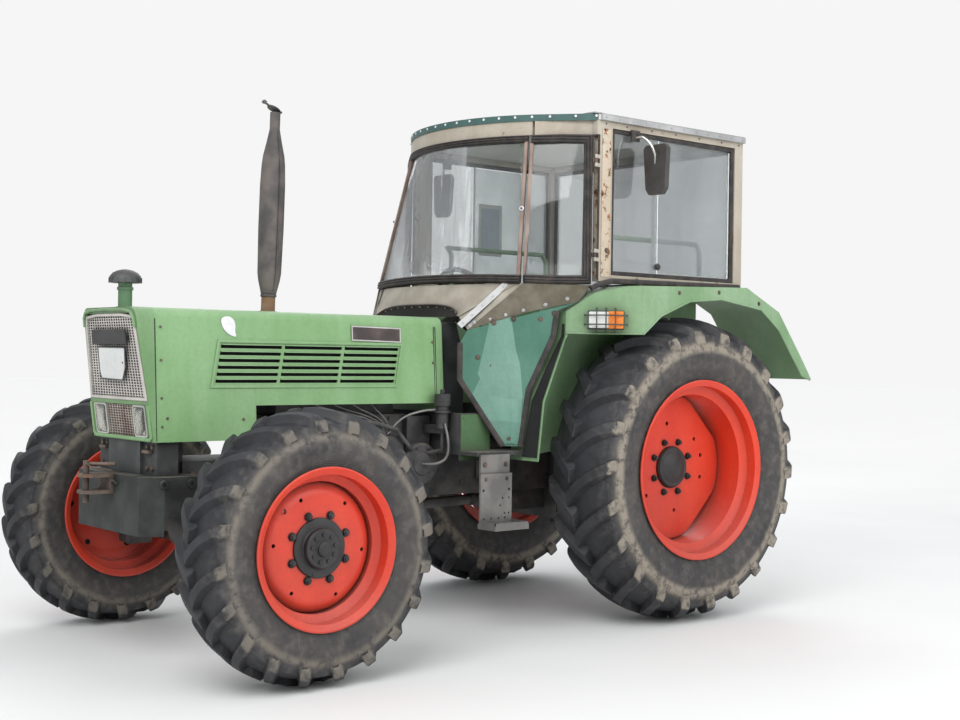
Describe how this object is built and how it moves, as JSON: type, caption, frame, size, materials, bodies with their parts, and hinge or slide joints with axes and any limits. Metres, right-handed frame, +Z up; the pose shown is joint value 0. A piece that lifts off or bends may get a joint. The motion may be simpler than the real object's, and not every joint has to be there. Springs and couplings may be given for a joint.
{
  "type": "farm tractor",
  "caption": "Old four-wheel-drive farm tractor with a closed cab, slatted bonnet, front weight, upright exhaust and rear three-point linkage.",
  "frame": {"origin": "centre of the overall box on the ground", "axes": "+Y from the nose to the rear linkage, +Z up, +X to the tractor's own left"},
  "size_m": [2.0642, 3.8949, 2.5521],
  "materials": {
    "bonnet_green": "faded, streaked paint",
    "door_green": "faded, scuffed paint",
    "cab_cream": "chalky paint with rust",
    "roof_cream": "chalky paint",
    "zinc_sheet": "dull galvanised",
    "rim_orange": "faded paint with dirt",
    "tyre": "dusty rubber",
    "dark_iron": "oily, dirty paint",
    "weight_iron": "worn dark paint",
    "exhaust_rust": "burnt, rusty",
    "black_rubber": "matte",
    "black_plastic": "matte",
    "seat_vinyl": "worn satin",
    "window_glass": "clear, dusty",
    "lamp_glass": "fluted",
    "lamp_amber": "gloss",
    "lamp_red": "gloss",
    "bare_steel": "worn",
    "radiator_black": "matte"
  },
  "bodies": {
    "chassis": {"air_precleaner": "black_plastic", "bonnet": "bonnet_green", "cab_frame": "cab_cream", "console": "black_plastic", "controls": "black_plastic", "cowl": "bonnet_green", "drawbar": "dark_iron", "drive_shaft": "dark_iron", "engine": "dark_iron", "engine_side_gear": "dark_iron", "exhaust": "exhaust_rust", "fender_left": "bonnet_green", "fender_right": "bonnet_green", "front_axle": "dark_iron", "front_carrier": "dark_iron", "front_weight": "weight_iron", "grille": "radiator_black", "guard_rails": "cab_cream", "headlamps": "lamp_glass", "hitch_brackets": "dark_iron", "mirrors": "black_plastic", "nose": "bonnet_green", "platform": "dark_iron", "pto_shaft": "bare_steel", "radiator": "radiator_black", "rear_glass": "window_glass", "rear_panel": "cab_cream", "roof": "roof_cream", "seat_base": "black_plastic", "seat_cushions": "seat_vinyl", "side_glass": "window_glass", "side_lamps": "lamp_amber", "skirt": "zinc_sheet", "steering_column": "black_plastic", "steps": "dark_iron", "tail_lamps": "lamp_red", "tow_jaw": "bare_steel", "transmission": "dark_iron", "window_seals": "black_rubber", "windscreen_frame": "cab_cream", "windscreen_glass": "window_glass"},
    "door_left": {"door_left": "door_green", "door_glass_left": "window_glass"},
    "door_right": {"door_right": "door_green", "door_glass_right": "window_glass"},
    "knuckle_left": {"knuckle_left": "dark_iron"},
    "knuckle_right": {"knuckle_right": "dark_iron"},
    "track_rod": {"track_rod": "bare_steel"},
    "wheel_front_left": {"wheel_front_left": "rim_orange", "tyre_front_left": "tyre"},
    "wheel_front_right": {"wheel_front_right": "rim_orange", "tyre_front_right": "tyre"},
    "wheel_rear_left": {"wheel_rear_left": "rim_orange", "tyre_rear_left": "tyre"},
    "wheel_rear_right": {"wheel_rear_right": "rim_orange", "tyre_rear_right": "tyre"},
    "steering_wheel": {"steering_wheel": "black_plastic"},
    "lift_arms": {"lift_arms": "dark_iron"},
    "lift_rods": {"lift_rods": "bare_steel"},
    "lower_links": {"lower_links": "dark_iron"}
  },
  "joints": [
    {"name": "steer_left", "type": "hinge", "parent": "chassis", "child": "knuckle_left", "pos_m": [0.735, -1.3575, 0.56], "axis": [0, 0, 1], "range_deg": [-35, 35]},
    {"name": "steer_right", "type": "hinge", "parent": "chassis", "child": "knuckle_right", "pos_m": [-0.735, -1.3575, 0.56], "axis": [0, 0, 1], "range_deg": [-35, 35]},
    {"name": "track_rod_swing", "type": "hinge", "parent": "knuckle_left", "child": "track_rod", "pos_m": [0.735, -1.1675, 0.425], "axis": [0, 0, 1], "range_deg": [-35, 35]},
    {"name": "steering_wheel_turn", "type": "hinge", "parent": "chassis", "child": "steering_wheel", "pos_m": [0, 0.1725, 1.6], "axis": [0, 0.8222, 0.5692], "range_deg": [-490, 490]},
    {"name": "wheel_spin_front_left", "type": "hinge", "parent": "knuckle_left", "child": "wheel_front_left", "pos_m": [0.874, -1.3575, 0.56], "axis": [1, 0, 0], "continuous": true},
    {"name": "wheel_spin_front_right", "type": "hinge", "parent": "knuckle_right", "child": "wheel_front_right", "pos_m": [-0.874, -1.3575, 0.56], "axis": [1, 0, 0], "continuous": true},
    {"name": "wheel_spin_rear_left", "type": "hinge", "parent": "chassis", "child": "wheel_rear_left", "pos_m": [0.74, 0.9725, 0.775], "axis": [1, 0, 0], "continuous": true},
    {"name": "wheel_spin_rear_right", "type": "hinge", "parent": "chassis", "child": "wheel_rear_right", "pos_m": [-0.74, 0.9725, 0.775], "axis": [1, 0, 0], "continuous": true},
    {"name": "door_left_swing", "type": "hinge", "parent": "chassis", "child": "door_left", "pos_m": [0.748, 0.3575, 1.7], "axis": [0, 0, 1], "range_deg": [0, 80]},
    {"name": "door_right_swing", "type": "hinge", "parent": "chassis", "child": "door_right", "pos_m": [-0.748, 0.3575, 1.7], "axis": [0, 0, -1], "range_deg": [0, 80]},
    {"name": "lift_swing", "type": "hinge", "parent": "chassis", "child": "lift_arms", "pos_m": [0, 1.3375, 0.9], "axis": [1, 0, 0], "range_deg": [-20, 25]},
    {"name": "lift_rod_swing", "type": "hinge", "parent": "lift_arms", "child": "lift_rods", "pos_m": [0, 1.58504, 0.935], "axis": [1, 0, 0], "range_deg": [-25, 20]},
    {"name": "link_swing", "type": "hinge", "parent": "chassis", "child": "lower_links", "pos_m": [0, 1.0325, 0.45], "axis": [1, 0, 0], "range_deg": [-12, 14]}
  ],
  "couplings": [
    {"joint": "steer_right", "follows": "steer_left", "ratio": 1},
    {"joint": "track_rod_swing", "follows": "steer_left", "ratio": -1},
    {"joint": "steering_wheel_turn", "follows": "steer_left", "ratio": 14},
    {"joint": "lift_rod_swing", "follows": "lift_swing", "ratio": -0.91},
    {"joint": "link_swing", "follows": "lift_swing", "ratio": 0.45}
  ]
}
